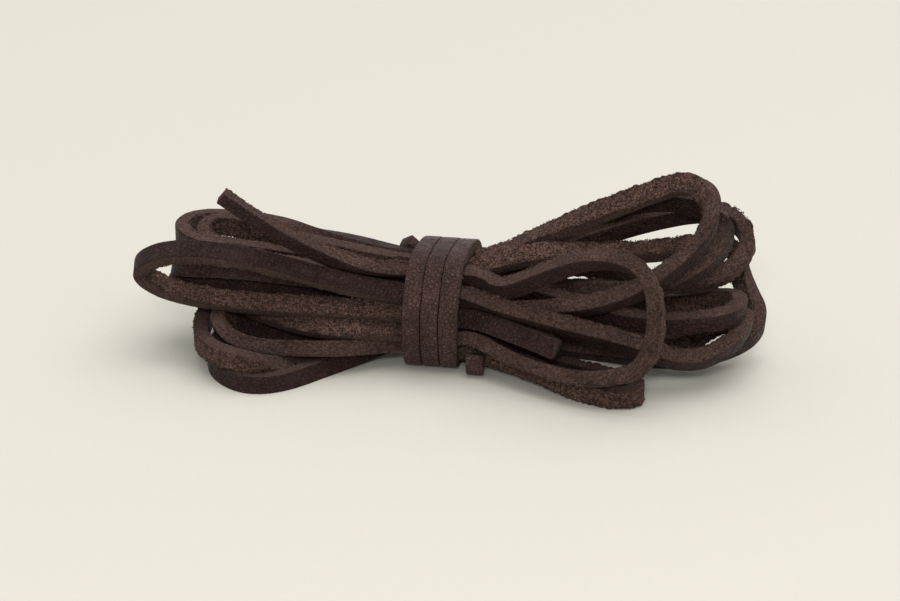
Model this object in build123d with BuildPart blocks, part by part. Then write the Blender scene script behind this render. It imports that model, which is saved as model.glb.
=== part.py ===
from build123d import *
import os
from math import radians, tan

# A hank of square-cut leather lace, bound round its middle by a second, shorter lace.
# Millimetres. X runs along the hank, +Y is its back, +Z is up.
# The origin is the middle of the flat underside of the tie.

# The long lace. It twists as it runs, so the sweep carries one rounded square section in its place.
LACE_SIDE = 2.8
LACE_CORNER = 1.1

# Where the long lace runs straight through the tie: heights of the five rows above the resting
# face, and how far in front (-) or behind (+) the middle each strand of a row lies.
ROW_HEIGHTS = {"r1": 16.9, "r2": 13.5, "r3": 10.15, "r4": 6.8, "r5": 3.6}
ROW_OF_THREE = (-3.35, 0.0, 3.35)
ROW_OF_FOUR = (-5.05, -1.7, 1.7, 5.05)
WAIST_HALF = 7.0

# The tie: three turns side by side, pulled flat where they rest.
TIE_DEPTH = 19.0
TIE_HEIGHT = 21.0
TIE_THICKNESS = 2.0
TIE_CORNER = 4.9
TURN_WIDTH = 2.9
TURN_PITCH = 3.1
STUB_X = 7.4
STUB_TOP = 4.0
STUB_REACH = 5.4
STUB_FRONT = 7.4

# Each loop leaves the waist in one place of the hank, turns round its tip and comes back to another.
# The points between are chosen by hand along its middle line.
LOOPS = {
    "left_loop_1": ("r1c3", "r2c3", [
        (-19, 8.5, 17.2), (-36, 14, 17.6), (-46.5, 13.4, 17.8), (-47.5, 5, 17.2),
        (-36.5, -0.4, 16.3), (-19, -1, 14.6)]),
    "left_loop_2": ("r1c2", "r2c4", [
        (-17.5, 3.4, 17), (-31.5, 8.8, 17), (-42.5, 11.2, 18.6), (-43.5, 5.6, 16),
        (-33, 3.4, 15.9), (-19, 6.5, 13.2)]),
    "left_loop_3": ("r2c1", "r3c1", [
        (-15.5, -8.2, 15.9), (-32, -10.3, 20.4), (-45, -9, 20.1), (-52.2, -5.8, 15.2),
        (-47.3, -4.6, 11), (-35, -8, 10.9), (-18, -8.2, 11.2)]),
    "left_loop_4": ("r2c2", "r3c3", [
        (-17, -4, 14.5), (-34, -4.6, 15.7), (-45, -4, 15), (-46.5, 4.8, 12.4),
        (-36.5, 6.5, 11.8), (-20.5, 4.5, 10.2)]),
    "left_loop_5": ("r4c2", "r5c1", [
        (-16, -3.4, 4.7), (-28, -3.6, 4.2), (-36.4, -2.4, 5.6), (-37.2, -9.2, 8),
        (-31.5, -14.2, 5.6), (-18, -11.8, 5)]),
    "left_loop_6": ("r4c4", "r5c3", [
        (-19, 8, 6.4), (-33, 9, 6.4), (-41.6, 6, 5.6), (-39.8, -12.6, 4.4), (-28.5, -21, 5.3),
        (-24.2, -13.2, 1.6), (-15, -1.2, 1.6)]),
    "left_loop_7": ("r4c3", "r5c2", [
        (-19, 4, 3.6), (-31, 5, 2), (-39, 2, 1.45), (-36.6, -15, 1.45), (-26, -22.7, 1.45),
        (-15, -5.8, 1.5)]),
    "left_loop_8": ("r3c2", "r4c1", [
        (-16.5, -3.6, 10.6), (-33, -2.2, 12), (-43, -3.2, 11.3), (-48, 0.6, 10.2),
        (-43.5, 5.2, 8.9), (-33, -3.8, 8.4), (-18, -10.2, 7.9)]),
    "right_loop_1": ("r1c3", "r3c2", [
        (17, 2, 22.6), (32, 0, 31), (44.5, 0, 36.1), (47.6, -6.5, 28.4), (35.5, -10.5, 18),
        (20, -5.5, 12.2)]),
    "right_loop_2": ("r2c4", "r4c3", [
        (18, 6.5, 20.6), (31, 6, 29), (45.5, 3.2, 30.6), (49.3, -1.5, 24), (38.5, -6.4, 17.2),
        (20, 2.8, 14)]),
    "right_loop_3": ("r2c3", "r3c3", [
        (17.5, 2.2, 19.1), (31, 6.2, 24.4), (46.5, 12.5, 26.6), (52.5, 10.5, 20.5),
        (45.5, 4.4, 14.8), (33, 3.4, 15.6), (20, 6.3, 17.3)]),
    "right_loop_4": ("r2c2", "r4c4", [
        (17, -1, 13.9), (34.5, -7, 11.4), (51, -6, 13.2), (50.5, 7.5, 12.6), (38, 10.5, 8.8),
        (20.5, 8.6, 8.7)]),
    "right_loop_5": ("r1c2", "r5c3", [
        (16, -2.5, 21.4), (33, 1.2, 21), (48.5, 13, 20.4), (49, 16, 12.6), (55.3, 8.6, 6.2),
        (43.5, 0.2, 2.2), (22, 1.4, 3.3)]),
    "right_loop_6": ("r2c1", "r4c2", [
        (16, -9, 12.6), (34, -11, 10.1), (43.5, -8.5, 5.4), (51, -4.5, 8.6), (52.3, 5, 10.2),
        (46.3, 8.4, 6.8), (39.5, 6.3, 2), (24, 2.8, 7.1)]),
    "right_loop_7": ("r1c1", "r4c1", [
        (12, -6.6, 15.6), (19.5, -10.3, 20.6), (28.5, -14.4, 26.2), (39, -17, 25.5),
        (39.5, -17.5, 8.5), (28.5, -16.5, 4.4), (15.5, -10, 4.5)]),
    "right_loop_8": ("r5c1", "r5c2", [
        (15, -6.5, 3.1), (26, -13.2, 1.7), (34.5, -16.2, 1.7), (36.5, -11.2, 2.2),
        (27.5, -6.3, 1.7), (16, -1.5, 1.7)]),
}

# The two free ends of the long lace, from the waist out to the cut.
FREE_ENDS = {
    "lace_end_left": ("r1c1", [
        (-12.5, -6, 18.6), (-20.5, -8, 22.2), (-28.5, -9.5, 26), (-35, -11, 31)]),
    "lace_end_right": ("r3c1", [
        (13, -8.5, 9.6), (18, -10, 8.8), (22, -11.5, 7.9)]),
}


def waist_place(place, x):
    """The middle of one strand in the waist, at the given distance along the hank."""
    row = ROW_OF_THREE if place[:2] in ("r1", "r5") else ROW_OF_FOUR
    return (x, row[int(place[3]) - 1], ROW_HEIGHTS[place[:2]])


def corner_radii(points):
    """A radius for each corner of a route, from its shorter side and its turn."""
    radii = []
    for before, corner, after in zip(points, points[1:], points[2:]):
        arriving = Vector(*corner) - Vector(*before)
        leaving = Vector(*after) - Vector(*corner)
        shorter = min(arriving.length, leaving.length)
        half_turn = radians(arriving.get_angle(leaving) / 2)
        radii.append(0.45 * shorter / tan(half_turn))
    return radii


def swept_lace(name, points):
    """One length of lace, its square section carried along straight runs joined by arcs."""
    radii = corner_radii(points)
    with BuildPart() as lace:
        with BuildLine():
            middle = FilletPolyline(*points, radius=radii)
        with BuildSketch(Plane(origin=middle @ 0, z_dir=middle % 0)) as section:
            RectangleRounded(LACE_SIDE, LACE_SIDE, LACE_CORNER)
        sweep()
    lace.part.label = name
    expected = section.sketch.area * middle.length
    print(name, "length", round(middle.length, 1), "volume", round(lace.part.volume, 1),
          "expected", round(expected, 1), "radii", [round(radius, 1) for radius in radii])
    export_step(lace.part, f"parts/{name}.step")
    return middle.length


os.makedirs("parts", exist_ok=True)
total = 0

for name, (first, last, points) in LOOPS.items():
    side = WAIST_HALF if points[0][0] > 0 else -WAIST_HALF
    route = [waist_place(first, 0), waist_place(first, side)] + points
    route = route + [waist_place(last, side), waist_place(last, 0)]
    total += swept_lace(name, route)

for name, (first, points) in FREE_ENDS.items():
    side = WAIST_HALF if points[0][0] > 0 else -WAIST_HALF
    route = [waist_place(first, 0), waist_place(first, side)] + points
    total += swept_lace(name, route)

print("long lace", round(total, 1), "mm")

# Three turns of the tie: rounded rings with a flat underside.
for number in (1, 2, 3):
    name = f"tie_turn_{number}"
    middle_x = (number - 2) * TURN_PITCH
    with BuildPart() as turn:
        with BuildSketch(Plane.YZ.offset(middle_x - TURN_WIDTH / 2)):
            with Locations((0, TIE_HEIGHT / 2)):
                RectangleRounded(TIE_DEPTH, TIE_HEIGHT, TIE_CORNER)
                RectangleRounded(TIE_DEPTH - 2 * TIE_THICKNESS, TIE_HEIGHT - 2 * TIE_THICKNESS,
                                 TIE_CORNER - TIE_THICKNESS, mode=Mode.SUBTRACT)
        extrude(amount=TURN_WIDTH)
    turn.part.label = name
    export_step(turn.part, f"parts/{name}.step")

# The tie's first end: it lies under the strands beside the last turn and its cut end stands up
# in front of them.
with BuildPart() as tie_start:
    with BuildSketch(Plane.YZ.offset(STUB_X - TURN_WIDTH / 2)):
        with BuildLine() as stub_middle:
            FilletPolyline((-STUB_REACH / 2, TIE_THICKNESS / 2),
                           (-STUB_FRONT, TIE_THICKNESS / 2),
                           (-STUB_FRONT, STUB_TOP),
                           radius=TIE_THICKNESS)
        trace(line_width=TIE_THICKNESS)
    extrude(amount=TURN_WIDTH)
tie_start.part.label = "tie_start"
export_step(tie_start.part, "parts/tie_start.step")

# The tie's last end: a short cut tail that comes out beside the first turn, behind the strands.
with BuildPart() as tie_end:
    with Locations(Location((-6.6, 7.1, 17.6), (-35, 0, 0))):
        Box(3.0, TIE_THICKNESS, 2.4)
    fillet(tie_end.edges().filter_by(Axis.X), 0.5)
tie_end.part.label = "tie_end"
export_step(tie_end.part, "parts/tie_end.step")
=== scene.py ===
import math

import bpy
import numpy as np
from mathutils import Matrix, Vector


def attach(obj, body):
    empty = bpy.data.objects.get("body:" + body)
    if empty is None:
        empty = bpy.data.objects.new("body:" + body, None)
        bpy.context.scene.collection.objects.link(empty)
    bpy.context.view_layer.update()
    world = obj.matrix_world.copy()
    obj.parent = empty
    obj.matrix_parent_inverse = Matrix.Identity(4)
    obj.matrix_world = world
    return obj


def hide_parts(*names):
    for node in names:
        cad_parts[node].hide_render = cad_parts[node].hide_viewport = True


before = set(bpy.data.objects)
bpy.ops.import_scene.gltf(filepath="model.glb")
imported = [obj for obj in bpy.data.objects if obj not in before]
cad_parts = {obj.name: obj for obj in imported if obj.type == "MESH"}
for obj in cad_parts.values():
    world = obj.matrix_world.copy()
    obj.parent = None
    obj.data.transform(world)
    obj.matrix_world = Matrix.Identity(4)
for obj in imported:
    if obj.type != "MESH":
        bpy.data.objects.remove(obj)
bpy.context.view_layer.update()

MM = 0.001
LACE_WIDTH = 3.2
LACE_THICKNESS = 2.6

# Keeps a direction of no length from being divided by zero.
ALMOST_NOTHING = 1e-12

# ---------------------------------------------------------------- the route of the long lace, in mm
# The rows of strands inside the tie: their heights, and how far in front (-) or behind (+) the
# middle each strand of a row lies.
ROW_HEIGHTS = {"r1": 16.9, "r2": 13.5, "r3": 10.15, "r4": 6.8, "r5": 3.6}
ROW_OF_THREE = (-3.35, 0.0, 3.35)
ROW_OF_FOUR = (-5.05, -1.7, 1.7, 5.05)
WAIST_HALF = 7.0

# Each loop: its two places in the waist, then the points between them, each with the direction
# its grain side faces there.
LOOPS = {
    "left_loop_1": ("r1c3", "r2c3", [
        ((-19, 8.5, 17.2), (0, 0.1, 1)), ((-36, 14, 17.6), (0, 1, 0)),
        ((-46.5, 13.4, 17.8), (-0.7, 0.7, 0)), ((-47.5, 5, 17.2), (-0.9, -0.4, 0)),
        ((-36.5, -0.4, 16.3), (-0.1, -1, 0)), ((-19, -1, 14.6), (0, -1, 0))]),
    "left_loop_2": ("r1c2", "r2c4", [
        ((-17.5, 3.4, 17), (0, 1, 0.1)), ((-31.5, 8.8, 17), (0, 1, 0)),
        ((-42.5, 11.2, 18.6), (-0.6, 0.8, 0)), ((-43.5, 5.6, 16), (-0.9, -0.4, 0)),
        ((-33, 3.4, 15.9), (-0.1, -1, 0)), ((-19, 6.5, 13.2), (0, -1, 0))]),
    "left_loop_3": ("r2c1", "r3c1", [
        ((-15.5, -8.2, 15.9), (0, -0.75, 0.65)), ((-32, -10.3, 20.4), (0, -0.65, 0.75)),
        ((-45, -9, 20.1), (-0.2, -0.65, 0.7)), ((-52.2, -5.8, 15.2), (-0.9, -0.2, 0.1)),
        ((-47.3, -4.6, 11), (-0.4, 0.5, -0.7)), ((-35, -8, 10.9), (0, 0.75, -0.66)),
        ((-18, -8.2, 11.2), (0, 0.75, -0.66))]),
    "left_loop_4": ("r2c2", "r3c3", [
        ((-17, -4, 14.5), (0, -0.9, 0.4)), ((-34, -4.6, 15.7), (0, -0.9, 0.4)),
        ((-45, -4, 15), (-0.3, -0.9, 0.35)), ((-46.5, 4.8, 12.4), (-0.7, 0.7, -0.2)),
        ((-36.5, 6.5, 11.8), (0, 1, 0)), ((-20.5, 4.5, 10.2), (0, 1, 0))]),
    "left_loop_5": ("r4c2", "r5c1", [
        ((-16, -3.4, 4.7), (0, -0.9, 0.4)), ((-28, -3.6, 4.2), (0, -0.9, 0.4)),
        ((-36.4, -2.4, 5.6), (-0.6, -0.5, 0.6)), ((-37.2, -9.2, 8), (-0.7, -0.5, -0.2)),
        ((-31.5, -14.2, 5.6), (0, -0.4, -0.9)), ((-18, -11.8, 5), (0, -0.3, -1))]),
    "left_loop_6": ("r4c4", "r5c3", [
        ((-19, 8, 6.4), (0, -1, 0)), ((-33, 9, 6.4), (0, -1, 0)), ((-41.6, 6, 5.6), (0.8, -0.6, 0)),
        ((-39.8, -12.6, 4.4), (0.9, 0.4, 0.05)), ((-28.5, -21, 5.3), (0, 1, 0.1)),
        ((-24.2, -13.2, 1.6), (0.3, 1, 0.1)), ((-15, -1.2, 1.6), (0, 1, 0))]),
    "left_loop_7": ("r4c3", "r5c2", [
        ((-19, 4, 3.6), (0, 1, 0)), ((-31, 5, 2), (0, 1, 0)), ((-39, 2, 1.45), (-0.7, 0.7, 0)),
        ((-36.6, -15, 1.45), (-0.8, -0.6, 0)), ((-26, -22.7, 1.45), (0, -1, 0)),
        ((-15, -5.8, 1.5), (0, -1, 0))]),
    "left_loop_8": ("r3c2", "r4c1", [
        ((-16.5, -3.6, 10.6), (0, -0.8, 0.6)), ((-33, -2.2, 12), (0, -0.8, 0.6)),
        ((-43, -3.2, 11.3), (-0.4, -0.8, 0.5)), ((-48, 0.6, 10.2), (-0.8, 0.1, 0.2)),
        ((-43.5, 5.2, 8.9), (-0.2, 0.9, -0.3)), ((-33, -3.8, 8.4), (0, 0.7, -0.7)),
        ((-18, -10.2, 7.9), (0, 0.7, -0.7))]),
    "right_loop_1": ("r1c3", "r3c2", [
        ((17, 2, 22.6), (0, 0.3, -0.95)), ((32, 0, 31), (0.1, 0.85, -0.5)),
        ((44.5, 0, 36.1), (0.4, 0.7, -0.45)), ((47.6, -6.5, 28.4), (0.9, -0.35, -0.1)),
        ((35.5, -10.5, 18), (0.5, -0.65, -0.55)), ((20, -5.5, 12.2), (0.2, -0.7, -0.65))]),
    "right_loop_2": ("r2c4", "r4c3", [
        ((18, 6.5, 20.6), (0, -0.94, -0.32)), ((31, 6, 29), (0, -0.94, -0.32)),
        ((45.5, 3.2, 30.6), (-0.1, -0.94, -0.3)), ((49.3, -1.5, 24), (0.9, -0.4, -0.2)),
        ((38.5, -6.4, 17.2), (0.3, -0.6, -0.6)), ((20, 2.8, 14), (0, 0.2, -1))]),
    "right_loop_3": ("r2c3", "r3c3", [
        ((17.5, 2.2, 19.1), (0, -0.94, -0.32)), ((31, 6.2, 24.4), (0, -0.94, -0.32)),
        ((46.5, 12.5, 26.6), (-0.2, -0.9, -0.3)), ((52.5, 10.5, 20.5), (-0.9, 0.3, 0.3)),
        ((45.5, 4.4, 14.8), (-0.3, 0.6, 0.8)), ((33, 3.4, 15.6), (0, 0.6, 0.8)),
        ((20, 6.3, 17.3), (0, 0.6, 0.8))]),
    "right_loop_4": ("r2c2", "r4c4", [
        ((17, -1, 13.9), (0, -0.97, -0.23)), ((34.5, -7, 11.4), (0, -0.97, -0.23)),
        ((51, -6, 13.2), (0.5, -0.8, -0.2)), ((50.5, 7.5, 12.6), (0.7, 0.7, 0)),
        ((38, 10.5, 8.8), (0, 1, 0)), ((20.5, 8.6, 8.7), (0, 1, 0))]),
    "right_loop_5": ("r1c2", "r5c3", [
        ((16, -2.5, 21.4), (0, 0.7, -0.7)), ((33, 1.2, 21), (0, 0.45, -0.9)),
        ((48.5, 13, 20.4), (-0.3, 0.8, -0.5)), ((49, 16, 12.6), (0.5, 0.8, -0.1)),
        ((55.3, 8.6, 6.2), (0.8, 0.3, 0.3)), ((43.5, 0.2, 2.2), (0.1, -0.66, -0.75)),
        ((22, 1.4, 3.3), (0, -0.66, -0.75))]),
    "right_loop_6": ("r2c1", "r4c2", [
        ((16, -9, 12.6), (0, -0.7, -0.7)), ((34, -11, 10.1), (0, -0.7, -0.7)),
        ((43.5, -8.5, 5.4), (0.2, -0.7, -0.7)), ((51, -4.5, 8.6), (0.8, -0.5, -0.4)),
        ((52.3, 5, 10.2), (0.7, 0.7, 0)), ((46.3, 8.4, 6.8), (0, 1, 0)), ((39.5, 6.3, 2), (0, 1, 0)),
        ((24, 2.8, 7.1), (0, 1, 0))]),
    "right_loop_7": ("r1c1", "r4c1", [
        ((12, -6.6, 15.6), (0, -0.95, -0.3)), ((19.5, -10.3, 20.6), (0, -0.9, -0.4)),
        ((28.5, -14.4, 26.2), (0.1, -0.8, -0.6)), ((39, -17, 25.5), (-0.7, -0.2, -0.7)),
        ((39.5, -17.5, 8.5), (-0.97, 0.3, 0.3)), ((28.5, -16.5, 4.4), (-0.2, 0.5, 0.9)),
        ((15.5, -10, 4.5), (0, 0.5, 1))]),
    "right_loop_8": ("r5c1", "r5c2", [
        ((15, -6.5, 3.1), (0, 1, 0)), ((26, -13.2, 1.7), (0, 1, 0)), ((34.5, -16.2, 1.7), (-0.3, 1, 0)),
        ((36.5, -11.2, 2.2), (-0.9, -0.3, 0)), ((27.5, -6.3, 1.7), (0, -1, 0)),
        ((16, -1.5, 1.7), (0, -1, 0))]),
}

# The free ends, with the direction the grain side faces at each point: the left one from its cut
# to the waist, and the right one from the waist to its cut.
END_LEFT = [
    ((-35, -11, 31), (0.1, -0.97, -0.22)), ((-28.5, -9.5, 26), (0.1, -0.97, -0.25)),
    ((-20.5, -8, 21.4), (0.05, -0.9, -0.4)), ((-12.5, -6, 18.1), (0, -0.7, -0.7))]
END_LEFT_PLACE = "r1c1"
END_LEFT_ENTERS = (0, -0.5, -0.85)
END_RIGHT_FACING = (0, -0.97, 0.2)
END_RIGHT = [
    ((13, -8.5, 9.6), END_RIGHT_FACING), ((18, -10, 8.8), END_RIGHT_FACING),
    ((22, -11.5, 7.9), END_RIGHT_FACING)]

# The order in which the lace runs through its loops.
WALK = [
    "right_loop_7", "left_loop_8", "right_loop_1", "left_loop_1", "right_loop_3", "left_loop_4",
    "right_loop_4", "left_loop_6", "right_loop_5", "left_loop_2", "right_loop_2", "left_loop_7",
    "right_loop_8", "left_loop_5", "right_loop_6", "left_loop_3",
]


def waist_place(place, x):
    """The middle of one strand in the waist, at the given distance along the hank."""
    row = ROW_OF_THREE if place[:2] in ("r1", "r5") else ROW_OF_FOUR
    return (x, row[int(place[3]) - 1], ROW_HEIGHTS[place[:2]])


# Where two directions are nearer to opposite than this, their sum may come close to zero, so the
# one between them is at right angles to the first.
NEARLY_OPPOSITE = -0.2


def halfway(before, after):
    """The grain's direction inside the tie, where the lace turns from one direction to the next."""
    if before[1] * after[1] + before[2] * after[2] > NEARLY_OPPOSITE:
        return tuple(a + b for a, b in zip(before, after))
    return (0, -before[2], before[1])


def lace_route():
    """The control points of the long lace from cut to cut, each with the grain's direction."""
    route = list(END_LEFT)
    place = END_LEFT_PLACE
    route.append((waist_place(place, -WAIST_HALF), END_LEFT_ENTERS))
    for name in WALK:
        first, last, between = LOOPS[name]
        if first != place:
            first, last = last, first
            between = between[::-1]
        side = math.copysign(WAIST_HALF, between[0][0][0])
        route.append((waist_place(first, 0), halfway(route[-1][1], between[0][1])))
        route.append((waist_place(first, side), between[0][1]))
        route.extend(between)
        route.append((waist_place(last, side), between[-1][1]))
        place = last
    route.append((waist_place(place, WAIST_HALF), END_RIGHT_FACING))
    route.extend(END_RIGHT)
    return [point for point, facing in route], [facing for point, facing in route]


# ---------------------------------------------------------------- the route of the tie, in mm
# One turn of the tie, looking along the hank: (depth, height) of its middle line, from the
# underside up the back, over the top and down the front, which bends over the middle strands.
TIE_TURN = [
    (3.5, 1.0), (7.2, 2.4), (8.3, 7.5), (8.3, 13.5), (7.2, 18.6), (3.5, 20.0),
    (-2.8, 20.0), (-6.7, 18.8), (-9.3, 12.9), (-8.8, 9.8), (-6.4, 2.5), (-2.8, 1.0),
]
# Its first end stands up in front of the strands and runs under them to the first turn. Its last
# end leaves the last turn at the back, above.
TIE_START = [(7.4, -7.4, 4.2), (7.4, -7.5, 2.6), (7.3, -6.4, 1.05), (6.7, -2.6, 1.0)]
TIE_END = [(-6.0, 7.6, 17.0), (-7.4, 7.0, 18.4)]
TIE_WIDTH = 2.93
TIE_THICKNESS = 2.0
TIE_MIDDLE_HEIGHT = 11.0

# The turns start beside the tie's first end and step to the left. After three whole turns the tie
# follows four more points of a turn, up to where it ends.
TIE_TURNS = 3
TIE_POINTS_MORE = 4
TIE_PITCH = 3.1
TIE_FIRST_X = 5.3


def tie_route():
    """The tie from its first end, in front below, to its last end, at the back above."""
    points = list(TIE_START)
    for number in range(TIE_TURNS * len(TIE_TURN) + TIE_POINTS_MORE):
        depth, height = TIE_TURN[number % len(TIE_TURN)]
        points.append((TIE_FIRST_X - TIE_PITCH * number / len(TIE_TURN), depth, height))
    return points + TIE_END


# ---------------------------------------------------------------- reading a smooth line
SPLINE_ORDER = 3


def nurbs_points(points, steps, scale=MM):
    """Points along the NURBS spline that has these, times the scale, as its control points."""
    data = bpy.data.curves.new("line", "CURVE")
    data.dimensions = "3D"
    data.resolution_u = steps
    spline = data.splines.new("NURBS")
    spline.points.add(len(points) - 1)
    for control, point in zip(spline.points, points):
        control.co = (point[0] * scale, point[1] * scale, point[2] * scale, 1)
    spline.order_u = SPLINE_ORDER
    spline.use_endpoint_u = True
    holder = bpy.data.objects.new("line", data)
    bpy.context.scene.collection.objects.link(holder)
    bpy.context.view_layer.update()
    graph = bpy.context.evaluated_depsgraph_get()
    mesh = bpy.data.meshes.new_from_object(holder.evaluated_get(graph))
    line = np.array([vertex.co[:] for vertex in mesh.vertices])
    bpy.data.meshes.remove(mesh)
    bpy.data.objects.remove(holder)
    bpy.data.curves.remove(data)
    return line


def unit(rows):
    """Each row as a direction of length one."""
    return rows / np.maximum(np.linalg.norm(rows, axis=1, keepdims=True), ALMOST_NOTHING)


# Random values that a smooth curve has to spare past its end.
SPARE_VALUES = 4


def smooth_noise(along, seed, scale):
    """A smooth random curve between about -1 and 1 along a length in metres."""
    values = np.random.default_rng(seed).uniform(-1, 1, int(along[-1] / scale) + SPARE_VALUES)
    place = along / scale
    low = np.floor(place).astype(int)
    part = place - low
    part = part * part * (3 - 2 * part)
    return values[low] * (1 - part) + values[low + 1] * part


# ---------------------------------------------------------------- the strip itself
# Its section, from the grain side round by the flesh side and back. Each point has its place across
# and through the strip in mm, the side of the strip that the face after it is on, and how far it may
# be torn out of line in mm.
GRAIN, FLESH, CUT = 0, 1, 2
SECTION = [
    (-1.47, 1.28, GRAIN, 0.012), (-1.22, 1.305, GRAIN, 0.012), (0.00, 1.31, GRAIN, 0.015),
    (1.22, 1.305, GRAIN, 0.012), (1.47, 1.28, CUT, 0.015), (1.575, 1.17, CUT, 0.02),
    (1.60, 0.92, CUT, 0.03), (1.61, 0.00, CUT, 0.05), (1.60, -0.88, CUT, 0.05),
    (1.585, -1.14, FLESH, 0.24), (1.45, -1.28, FLESH, 0.26), (1.15, -1.29, FLESH, 0.12),
    (0.40, -1.30, FLESH, 0.11), (-0.40, -1.30, FLESH, 0.11), (-1.15, -1.29, FLESH, 0.12),
    (-1.45, -1.28, CUT, 0.26), (-1.585, -1.14, CUT, 0.24), (-1.60, -0.88, CUT, 0.08),
    (-1.61, 0.00, CUT, 0.05), (-1.60, 0.92, CUT, 0.03), (-1.575, 1.17, GRAIN, 0.02),
]

# How the strip varies along its length: by what share, and over what length in metres.
WIDTH_VARIES, WIDTH_VARIES_OVER = 0.035, 0.017
THICKNESS_VARIES, THICKNESS_VARIES_OVER = 0.05, 0.012
PARED_LENGTH = 20 * MM
TORN_FINE_OVER = 0.0005
TORN_BROAD_SHARE, TORN_BROAD_OVER = 0.8, 0.0017

# What is added to a strip's seed for the random curves of each kind.
SEED_THICKNESS, SEED_PATCHES, SEED_TORN_FINE, SEED_TORN_BROAD = 1, 3, 10, 50

# The flow map counts in steps of 100 mm, along the strip and round its section.
FLOW_PER_METRE = 10


def strip_frames(line, grain):
    """Along, across and grain-side directions at every point of a strip's middle line."""
    along = unit(np.gradient(line, axis=0))
    up = unit(grain - np.sum(grain * along, axis=1, keepdims=True) * along)
    across = unit(np.cross(along, up))
    return along, across, up


def strip_vertices(line, frames, seed):
    """The section's points at every point of the line, each torn out of line a little."""
    distance, _, across, up, wide, thick = frames
    rows = []
    for number, (side, through, _, torn) in enumerate(SECTION):
        offset = torn * MM * smooth_noise(distance, seed + SEED_TORN_FINE + number, TORN_FINE_OVER)
        offset = offset + TORN_BROAD_SHARE * torn * MM * smooth_noise(
            distance, seed + SEED_TORN_BROAD + number, TORN_BROAD_OVER)
        reach = np.hypot(side, through)
        sideways = side * MM * wide + offset * side / reach
        outwards = through * MM * thick + offset * through / reach
        rows.append(line + across * sideways[:, None] + up * outwards[:, None])
    return np.stack(rows, axis=1).reshape(-1, 3)


def strip_faces(rings):
    """Quads round every ring and a face at each cut end, with the part of the strip each is on."""
    around = len(SECTION)
    faces = []
    parts = []
    for ring in range(rings - 1):
        base = ring * around
        for number in range(around):
            following = (number + 1) % around
            faces.append((base + number, base + following,
                          base + around + following, base + around + number))
            parts.append(SECTION[number][2])
    faces.append(tuple(range(around))[::-1])
    faces.append(tuple(range((rings - 1) * around, rings * around)))
    parts.extend([CUT, CUT])
    return faces, parts


def flow_map(mesh, distance):
    """A UV map that runs along the strip and round its section; the two end faces stay at zero."""
    around = len(SECTION)
    following = SECTION[1:] + SECTION[:1]
    sides = [math.dist(here[:2], there[:2]) for here, there in zip(SECTION, following)]
    girth = np.concatenate([[0], np.cumsum(sides)]) * MM
    number = np.tile(np.arange(around), len(distance) - 1)
    ring = np.repeat(np.arange(len(distance) - 1), around)
    corners = [(ring, number), (ring, number + 1), (ring + 1, number + 1), (ring + 1, number)]
    places = [np.stack([distance[rings], girth[numbers]], 1) for rings, numbers in corners]
    rows = np.stack(places, axis=1).reshape(-1, 2)
    flow_rows = np.zeros((len(mesh.loops), 2))
    flow_rows[:len(rows)] = rows
    mesh.uv_layers.new(name="flow").data.foreach_set("uv", (flow_rows * FLOW_PER_METRE).ravel())


def strip_mesh(name, line, grain, width, thickness, seed, pared=(0.0, 0.0)):
    """A closed strip of leather along a line, with its grain side, flesh side and cut edges.

    Pared is the share of its width and of its thickness that it loses towards its first end.
    """
    along, across, up = strip_frames(line, grain)
    steps = np.linalg.norm(np.diff(line, axis=0), axis=1)
    distance = np.concatenate([[0], np.cumsum(steps)])
    wide_curve = smooth_noise(distance, seed, WIDTH_VARIES_OVER)
    thick_curve = smooth_noise(distance, seed + SEED_THICKNESS, THICKNESS_VARIES_OVER)
    near_start = np.exp(-(distance / PARED_LENGTH) ** 2)
    wide = width / LACE_WIDTH * (1 + WIDTH_VARIES * wide_curve) * (1 - pared[0] * near_start)
    thick = thickness / LACE_THICKNESS * (1 + THICKNESS_VARIES * thick_curve) * (1 - pared[1] * near_start)
    frames = (distance, along, across, up, wide, thick)
    faces, parts = strip_faces(len(line))
    mesh = bpy.data.meshes.new(name)
    mesh.from_pydata(strip_vertices(line, frames, seed).tolist(), [], faces)
    mesh.polygons.foreach_set("material_index", parts)
    mesh.polygons.foreach_set("use_smooth", [True] * len(parts))
    flow_map(mesh, distance)
    mesh.validate()
    mesh.update()
    strip = bpy.data.objects.new(name, mesh)
    bpy.context.scene.collection.objects.link(strip)
    return strip, frames


# ---------------------------------------------------------------- loose fibres
# Fibres grow at the torn corners of the flesh side, on the cut edges and on the flesh side. A fibre
# has a random number from 0 to 1: below the first limit it is at a corner, below the second on an edge.
CORNER_BELOW, EDGE_BELOW = 0.60, 0.74

# Their places across and through the strip in mm. At the corners these are a middle and its spread,
# on the edges and the flesh side one value or a range.
CORNER_ACROSS, CORNER_THROUGH = (1.52, 0.05), (-1.20, 0.06)
EDGE_ACROSS, EDGE_THROUGH = 1.59, (-1.0, 0.8)
FLESH_ACROSS, FLESH_THROUGH = (-1.4, 1.4), -1.27

# How far they lean away from the strip, and how much they splay, as parts of their direction.
CORNER_LEANS_ACROSS, CORNER_LEANS_THROUGH = (0.2, 1.1), (0.1, 1.0)
EDGE_SPLAY, FLESH_SPLAY, LEAN_ALONG = 0.5, 0.6, 1.1

# Their sizes in mm. Long ones are rare, and they are longer and shorter in patches along the strip.
CORNER_LONGEST, EDGE_LONGEST, FLESH_LONGEST = 0.46, 0.24, 0.30
SHORTEST_SHARE, LENGTH_SHARE, LONG_ONES_RARE = 0.3, 1.2, 2.0
PATCH_MIDDLE, PATCH_SPREAD, PATCHES_OVER = 0.62, 0.38, 0.0025
MATTED_SHARE = 0.65
MATTED_RADII, LOOSE_RADII = (0.09, 0.16), (0.03, 0.06)

# Roots and tips nearer the floor than this are left out.
ROOT_CLEARANCE, TIP_CLEARANCE = 0.15 * MM, 0.1 * MM

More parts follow.
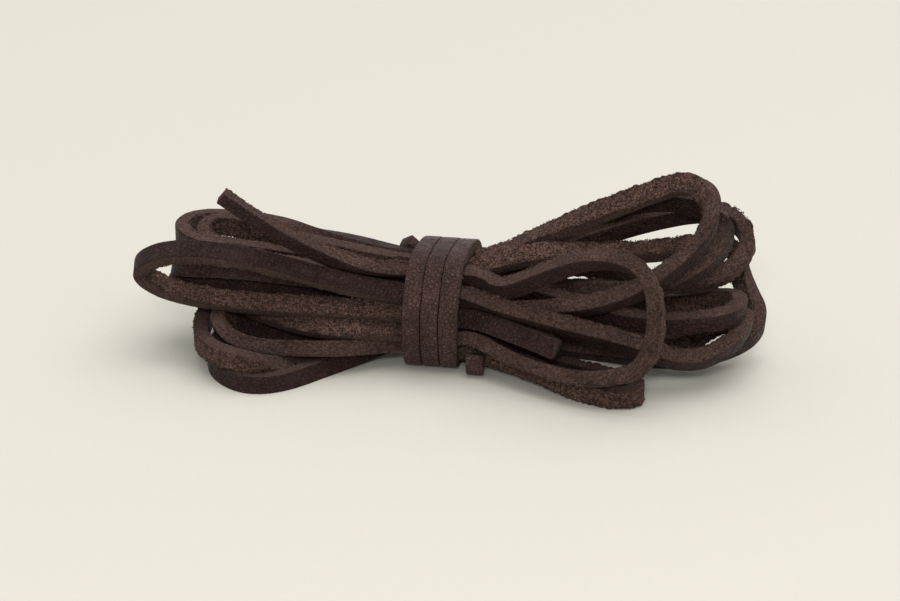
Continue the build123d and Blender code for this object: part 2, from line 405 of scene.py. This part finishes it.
# How close to upright a fibre is when its sides are worked out from X instead of from Z.
NEARLY_UPRIGHT = 0.9
CONE_SIDES = 3


def fibre_mesh(name, roots, directions, lengths, radii):
    """Short leather fibres, each a closed three-sided cone."""
    count = len(roots)
    directions = unit(directions)
    slanted = np.abs(directions[:, 2:3]) < NEARLY_UPRIGHT
    helper = np.where(slanted, [[0.0, 0.0, 1.0]], [[1.0, 0.0, 0.0]])
    first = unit(np.cross(directions, helper))
    second = np.cross(directions, first)
    vertices = np.zeros((count, CONE_SIDES + 1, 3))
    for number in range(CONE_SIDES):
        turn = number * math.tau / CONE_SIDES
        vertices[:, number] = roots + radii[:, None] * (
            math.cos(turn) * first + math.sin(turn) * second) - directions * radii[:, None]
    vertices[:, CONE_SIDES] = roots + directions * lengths[:, None]
    base = np.arange(count)[:, None] * (CONE_SIDES + 1)
    faces = np.concatenate([base + [corners] for corners in ([0, 1, 3], [1, 2, 3], [2, 0, 3], [0, 2, 1])])
    mesh = bpy.data.meshes.new(name)
    mesh.from_pydata(vertices.reshape(-1, 3).tolist(), [], faces.tolist())
    mesh.polygons.foreach_set("use_smooth", [True] * len(mesh.polygons))
    mesh.update()
    fibres = bpy.data.objects.new(name, mesh)
    bpy.context.scene.collection.objects.link(fibres)
    return fibres


def fuzz(name, line, frames, per_mm, seed):
    """Torn fibres standing from the flesh side and its two corners, and fewer from the cut edges."""
    distance, along, across, up, wide, thick = frames
    rng = np.random.default_rng(seed)
    count = int(distance[-1] / MM * per_mm)
    place = rng.uniform(0, distance[-1], count)

    def at(rows):
        """The rows' values at the fibres' places along the strip."""
        return np.stack([np.interp(place, distance, column) for column in rows.T], axis=1)

    kind = rng.random(count)
    corner = kind < CORNER_BELOW
    edge = (kind >= CORNER_BELOW) & (kind < EDGE_BELOW)
    side = rng.choice([-1.0, 1.0], count)
    aside = np.where(corner, side * rng.normal(*CORNER_ACROSS, count),
                     np.where(edge, side * EDGE_ACROSS, rng.uniform(*FLESH_ACROSS, count)))
    depth = np.where(corner, rng.normal(*CORNER_THROUGH, count),
                     np.where(edge, rng.uniform(*EDGE_THROUGH, count), FLESH_THROUGH))
    leans_aside = np.where(corner, side * rng.uniform(*CORNER_LEANS_ACROSS, count),
                           np.where(edge, side, rng.normal(0, FLESH_SPLAY, count)))
    leans_up = np.where(corner, -rng.uniform(*CORNER_LEANS_THROUGH, count),
                        np.where(edge, rng.normal(0, EDGE_SPLAY, count), -1.0))
    leans_along = rng.normal(0, LEAN_ALONG, count)

    along_here, across_here, up_here = at(along), at(across), at(up)
    aside = aside * np.interp(place, distance, wide) * MM
    depth = depth * np.interp(place, distance, thick) * MM
    roots = at(line) + across_here * aside[:, None] + up_here * depth[:, None]
    directions = unit(across_here * leans_aside[:, None] + up_here * leans_up[:, None]
                      + along_here * leans_along[:, None])

    matted = rng.random(count) < MATTED_SHARE
    patches = np.interp(place, distance, smooth_noise(distance, seed + SEED_PATCHES, PATCHES_OVER))
    longest = np.where(corner, CORNER_LONGEST, np.where(edge, EDGE_LONGEST, FLESH_LONGEST)) * MM
    longest = longest * (PATCH_MIDDLE + PATCH_SPREAD * patches)
    lengths = longest * (SHORTEST_SHARE + rng.random(count) ** LONG_ONES_RARE * LENGTH_SHARE)
    radii = np.where(matted, rng.uniform(*MATTED_RADII, count), rng.uniform(*LOOSE_RADII, count)) * MM
    tips = roots + directions * lengths[:, None]
    clear = (roots[:, 2] > ROOT_CLEARANCE) & (tips[:, 2] > TIP_CLEARANCE)
    return fibre_mesh(name, roots[clear], directions[clear], lengths[clear], radii[clear])


# ---------------------------------------------------------------- materials
# Where a Mix node set to colours has its two inputs and its result.
COLOUR_A, COLOUR_B, MIXED = 6, 7, 2


class Nodes:
    """A material with a Principled shader, and short ways to add nodes to it and link them."""

    def __init__(self, name):
        self.material = bpy.data.materials.new(name)
        self.material.use_nodes = True
        self.tree = self.material.node_tree
        self.tree.nodes.clear()
        self.shader = self.add("ShaderNodeBsdfPrincipled")
        self.link(self.shader, "BSDF", self.add("ShaderNodeOutputMaterial"), "Surface")

    def add(self, kind, **values):
        """Adds a node and sets its inputs, or its own settings, by name."""
        node = self.tree.nodes.new(kind)
        for key, value in values.items():
            if key in node.inputs:
                node.inputs[key].default_value = value
            else:
                setattr(node, key, value)
        return node

    def link(self, source, out, target, into):
        self.tree.links.new(source.outputs[out], target.inputs[into])

    def noise(self, where, out, scale, detail, rough=0.6):
        node = self.add("ShaderNodeTexNoise", Scale=scale, Detail=detail, Roughness=rough)
        self.link(where, out, node, "Vector")
        return node

    def voronoi(self, where, out, feature, scale):
        node = self.add("ShaderNodeTexVoronoi", feature=feature, Scale=scale)
        self.link(where, out, node, "Vector")
        return node

    def ramp(self, source, out, first, last):
        """Shades a value from the first to the last (place, colour)."""
        node = self.add("ShaderNodeValToRGB")
        for element, (place, colour) in zip(node.color_ramp.elements, (first, last)):
            element.position = place
            element.color = (*colour, 1)
        self.link(source, out, node, "Fac")
        return node

    def darken(self, factor, first, second):
        """Multiplies one (node, output) colour by another, as far as the factor says."""
        node = self.add("ShaderNodeMix", data_type="RGBA", blend_type="MULTIPLY")
        node.inputs[0].default_value = factor
        for (source, out), into in ((first, COLOUR_A), (second, COLOUR_B)):
            self.link(source, out, node, into)
        return node

    def bump(self, source, out, strength, distance, below=None):
        node = self.add("ShaderNodeBump", Strength=strength, Distance=distance)
        self.link(source, out, node, "Height")
        if below:
            self.link(below, "Normal", node, "Normal")
        return node


def grey(tone):
    """A colour with as much red, green and blue as each other."""
    return (tone, tone, tone)


def leather_grain(name, dark, light, rough, shine, relief, pebble_shading):
    """The smooth side: rounded pebbles, pores, faint creases and a soft waxy shine.

    Relief is how strongly the pebbles and pores stand out, and pebble_shading is how far painted shade
    darkens the creases between the pebbles and painted light lifts their tops.
    """
    nodes = Nodes(name)
    where = nodes.add("ShaderNodeTexCoord")
    broad = nodes.noise(where, "Object", scale=140, detail=3)
    mottle = nodes.noise(where, "Object", scale=900, detail=3)
    fine = nodes.noise(where, "Object", scale=3200, detail=4, rough=0.7)
    pebbles = nodes.voronoi(where, "Object", "DISTANCE_TO_EDGE", scale=1450)
    grit = nodes.voronoi(where, "Object", "F1", scale=3900)
    tone = nodes.ramp(broad, "Fac", (0.40, dark), (0.62, light))
    patches = nodes.ramp(mottle, "Fac", (0.38, (0.80, 0.79, 0.79)), (0.62, grey(1.18)))
    coloured = nodes.darken(1.0, (tone, "Color"), (patches, "Color"))
    # Painted shade darkens the creases between the pebbles and painted light lifts their tops.
    pebble_light_and_shade = nodes.ramp(pebbles, "Distance", (0.02, (0.40, 0.39, 0.39)), (0.26, grey(1.30)))
    coloured = nodes.darken(pebble_shading, (coloured, MIXED), (pebble_light_and_shade, "Color"))
    speckle = nodes.ramp(fine, "Fac", (0.38, grey(0.72)), (0.62, grey(1.26)))
    coloured = nodes.darken(0.8, (coloured, MIXED), (speckle, "Color"))
    nodes.link(coloured, MIXED, nodes.shader, "Base Color")
    gloss = nodes.ramp(mottle, "Fac", (0.38, grey(rough + 0.09)), (0.62, grey(rough - 0.07)))
    nodes.link(gloss, "Color", nodes.shader, "Roughness")
    height = nodes.bump(mottle, "Fac", strength=0.6, distance=0.00022 * relief)
    height = nodes.bump(pebbles, "Distance", strength=0.9, distance=0.00034 * relief, below=height)
    height = nodes.bump(grit, "Distance", strength=-0.6, distance=0.00006 * relief, below=height)
    height = nodes.bump(fine, "Fac", strength=0.5, distance=0.00006 * relief, below=height)
    nodes.link(height, "Normal", nodes.shader, "Normal")
    nodes.shader.inputs["Specular IOR Level"].default_value = shine
    return nodes.material


def leather_rough(name, dark, light, stretch, depth):
    """The flesh side or a cut edge: matted, curled fibres, with painted shade in the hollows between them.

    Stretch is how closely the streaks lie along and round the strip, and depth is how far the painted
    shade in the hollows, and the bumps, are let through.
    """
    nodes = Nodes(name)
    where = nodes.add("ShaderNodeTexCoord")
    flow = nodes.add("ShaderNodeUVMap", uv_map="flow")
    stretched = nodes.add("ShaderNodeMapping", Scale=(*stretch, 1))
    nodes.link(flow, "UV", stretched, "Vector")
    streaks = nodes.noise(stretched, "Vector", scale=1, detail=5, rough=0.65)
    streaks.inputs["Distortion"].default_value = 0.6
    curls = nodes.noise(where, "Object", scale=2300, detail=2, rough=0.55)
    curls.inputs["Distortion"].default_value = 1.0
    nap = nodes.noise(where, "Object", scale=3600, detail=2)
    broad = nodes.noise(where, "Object", scale=130, detail=3)
    tone = nodes.ramp(broad, "Fac", (0.40, dark), (0.62, light))
    matted = nodes.ramp(streaks, "Fac", (0.36, (0.62, 0.60, 0.58)), (0.64, (1.36, 1.35, 1.33)))
    coloured = nodes.darken(depth, (tone, "Color"), (matted, "Color"))
    # Painted shade darkens the hollows between the curled fibres and painted light lifts their tops.
    hollow_shade = nodes.ramp(curls, "Fac", (0.40, (0.24, 0.23, 0.22)), (0.56, (1.42, 1.40, 1.38)))
    coloured = nodes.darken(depth, (coloured, MIXED), (hollow_shade, "Color"))
    flecks = nodes.ramp(nap, "Fac", (0.40, (0.46, 0.45, 0.44)), (0.58, (1.46, 1.44, 1.42)))
    coloured = nodes.darken(depth, (coloured, MIXED), (flecks, "Color"))
    nodes.link(coloured, MIXED, nodes.shader, "Base Color")
    height = nodes.bump(curls, "Fac", strength=1.0, distance=0.00055 * depth)
    height = nodes.bump(streaks, "Fac", strength=0.8, distance=0.00035 * depth, below=height)
    height = nodes.bump(nap, "Fac", strength=0.9, distance=0.00020 * depth, below=height)
    nodes.link(height, "Normal", nodes.shader, "Normal")
    nodes.shader.inputs["Roughness"].default_value = 0.95
    nodes.shader.inputs["Specular IOR Level"].default_value = 0.10
    nodes.shader.inputs["Sheen Weight"].default_value = 0.12
    nodes.shader.inputs["Sheen Roughness"].default_value = 0.7
    nodes.shader.inputs["Sheen Tint"].default_value = (0.60, 0.42, 0.36, 1)
    return nodes.material


def leather_fibres(name):
    """Dull brown fibres, some darker and some lighter."""
    nodes = Nodes(name)
    where = nodes.add("ShaderNodeTexCoord")
    patches = nodes.noise(where, "Object", scale=900, detail=3)
    tone = nodes.ramp(patches, "Fac", (0.38, (0.042, 0.024, 0.020)), (0.62, (0.115, 0.068, 0.056)))
    nodes.link(tone, "Color", nodes.shader, "Base Color")
    nodes.shader.inputs["Roughness"].default_value = 0.9
    nodes.shader.inputs["Specular IOR Level"].default_value = 0.12
    return nodes.material


def pale_paper(name):
    """The floor: warm off-white with a very faint tooth."""
    nodes = Nodes(name)
    where = nodes.add("ShaderNodeTexCoord")
    tooth = nodes.noise(where, "Object", scale=900, detail=3)
    tone = nodes.ramp(tooth, "Fac", (0.3, (0.605, 0.584, 0.518)), (0.7, (0.615, 0.594, 0.528)))
    nodes.link(tone, "Color", nodes.shader, "Base Color")
    nodes.shader.inputs["Roughness"].default_value = 0.95
    nodes.shader.inputs["Specular IOR Level"].default_value = 0.1
    return nodes.material


# ---------------------------------------------------------------- the pieces
# One grain leather in two copies: the hank's is painted darker, as painted shade among the strands, and
# the tie's about twice as light, as painted light for the sheen on its front.
grain_side_shaded = leather_grain(
    "leather_grain", dark=(0.026, 0.0125, 0.0112), light=(0.038, 0.0185, 0.0168),
    rough=0.50, shine=0.12, relief=2.0, pebble_shading=0.45)
tie_grain_lit = leather_grain(
    "leather_tie_grain", dark=(0.054, 0.0272, 0.0238), light=(0.075, 0.0396, 0.0344),
    rough=0.34, shine=0.16, relief=2.6, pebble_shading=0.6)
flesh_side = leather_rough(
    "leather_flesh", dark=(0.064, 0.0362, 0.0288), light=(0.089, 0.0518, 0.0408),
    stretch=(80, 280), depth=1.0)
cut_edge = leather_rough(
    "leather_cut_edge", dark=(0.044, 0.0250, 0.0212), light=(0.062, 0.0363, 0.0306),
    stretch=(110, 260), depth=0.65)
fibres = leather_fibres("leather_fibres")

# The steps of each spline between two control points, the seeds of each strip and of its fibres,
# how many fibres it has to the millimetre, and how much the long lace's first end is pared.
LACE_STEPS, LACE_SEED, LACE_FIBRE_SEED, LACE_FIBRES_PER_MM = 34, 11, 101, 30
TIE_STEPS, TIE_SEED, TIE_FIBRE_SEED, TIE_FIBRES_PER_MM = 20, 71, 301, 10
LACE_PARED = (0.26, 0.22)

points, facings = lace_route()
lace_line = nurbs_points(points, LACE_STEPS)
lace_grain = nurbs_points(facings, LACE_STEPS, scale=1)
long_lace, lace_frames = strip_mesh(
    "long_lace", lace_line, lace_grain, LACE_WIDTH, LACE_THICKNESS, LACE_SEED, LACE_PARED)
lace_fuzz = fuzz("long_lace_fibres", lace_line, lace_frames, LACE_FIBRES_PER_MM, LACE_FIBRE_SEED)

# The tie's grain side faces away from the middle of the tie all round.
tie_line = nurbs_points(tie_route(), TIE_STEPS)
outward = tie_line - np.array([0, 0, TIE_MIDDLE_HEIGHT * MM])
outward[:, 0] = 0
tie_lace, tie_frames = strip_mesh("tie_lace", tie_line, outward, TIE_WIDTH, TIE_THICKNESS, TIE_SEED)
tie_fuzz = fuzz("tie_lace_fibres", tie_line, tie_frames, TIE_FIBRES_PER_MM, TIE_FIBRE_SEED)

for piece, materials in ((long_lace, (grain_side_shaded, flesh_side, cut_edge)), (lace_fuzz, (fibres,)),
                         (tie_lace, (tie_grain_lit, flesh_side, cut_edge)), (tie_fuzz, (fibres,))):
    for material in materials:
        piece.data.materials.append(material)

for piece in (long_lace, lace_fuzz, tie_lace, tie_fuzz):
    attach(piece, "root")
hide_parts(*LOOPS, "lace_end_left", "lace_end_right")
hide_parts("tie_turn_1", "tie_turn_2", "tie_turn_3", "tie_start", "tie_end")

# ---------------------------------------------------------------- floor, light, camera
FLOOR_HALF = 4.0
FLOOR_CORNERS = [(-1, -1), (1, -1), (1, 1), (-1, 1)]
WORLD_STRENGTH = 0.645
WORLD_WHITE = (1.0, 0.995, 0.985)
FRONT_WHITE = (1.0, 0.99, 0.98)


def area_light(name, place, aim, size, power, colour):
    """A rectangular lamp at a place, turned towards its aim, in metres and watts."""
    data = bpy.data.lights.new(name, "AREA")
    data.shape = "RECTANGLE"
    data.size, data.size_y = size
    data.energy = power
    data.color = colour
    light = bpy.data.objects.new(name, data)
    light.location = place
    light.rotation_euler = (Vector(aim) - Vector(place)).to_track_quat("-Z", "Y").to_euler()
    bpy.context.scene.collection.objects.link(light)


floor_mesh = bpy.data.meshes.new("floor")
floor_mesh.from_pydata([(x * FLOOR_HALF, y * FLOOR_HALF, 0) for x, y in FLOOR_CORNERS], [], [(0, 1, 2, 3)])
floor_mesh.materials.append(pale_paper("pale_paper"))
floor = bpy.data.objects.new("floor", floor_mesh)
bpy.context.scene.collection.objects.link(floor)

# A large soft light above gives the pale floor and the soft shadow, and a small one in front the
# sheen on the tie.
area_light("overhead", place=(0.40, 0.12, 1.65), aim=(0, 0, 0), size=(2.2, 1.9), power=26.5,
           colour=WORLD_WHITE)
area_light("front", place=(0.15, -1.10, 0.62), aim=(0, 0, 0.01), size=(0.24, 0.14), power=4.4,
           colour=FRONT_WHITE)

scene = bpy.context.scene
scene.view_settings.view_transform = "Standard"
scene.view_settings.look = "None"
world = bpy.data.worlds.new("studio")
world.use_nodes = True
world.node_tree.nodes["Background"].inputs["Color"].default_value = (*WORLD_WHITE, 1)
world.node_tree.nodes["Background"].inputs["Strength"].default_value = WORLD_STRENGTH
scene.world = world

# The camera stands 11 degrees to the right of the front and 21 degrees above the floor, and aims a
# little to the right of the hank's middle, as the photograph is framed.
AZIMUTH = math.radians(11)
ELEVATION = math.radians(21)
DISTANCE = 0.62
LENS = 146.0
SENSOR = 36.0
MIDDLE = Vector((0, 0, 10.75 * MM))
OFFSET_RIGHT = 1.70 * MM
CLIP_START, CLIP_END = 0.01, 20

back = Vector((math.sin(AZIMUTH) * math.cos(ELEVATION), -math.cos(AZIMUTH) * math.cos(ELEVATION),
               math.sin(ELEVATION)))
right = Vector((math.cos(AZIMUTH), math.sin(AZIMUTH), 0))
camera_data = bpy.data.cameras.new("camera")
camera_data.lens = LENS
camera_data.sensor_width = SENSOR
camera_data.clip_start = CLIP_START
camera_data.clip_end = CLIP_END
camera = bpy.data.objects.new("camera", camera_data)
camera.location = MIDDLE + right * OFFSET_RIGHT + back * DISTANCE
camera.rotation_euler = back.to_track_quat("Z", "Y").to_euler()
bpy.context.scene.collection.objects.link(camera)
scene.camera = camera
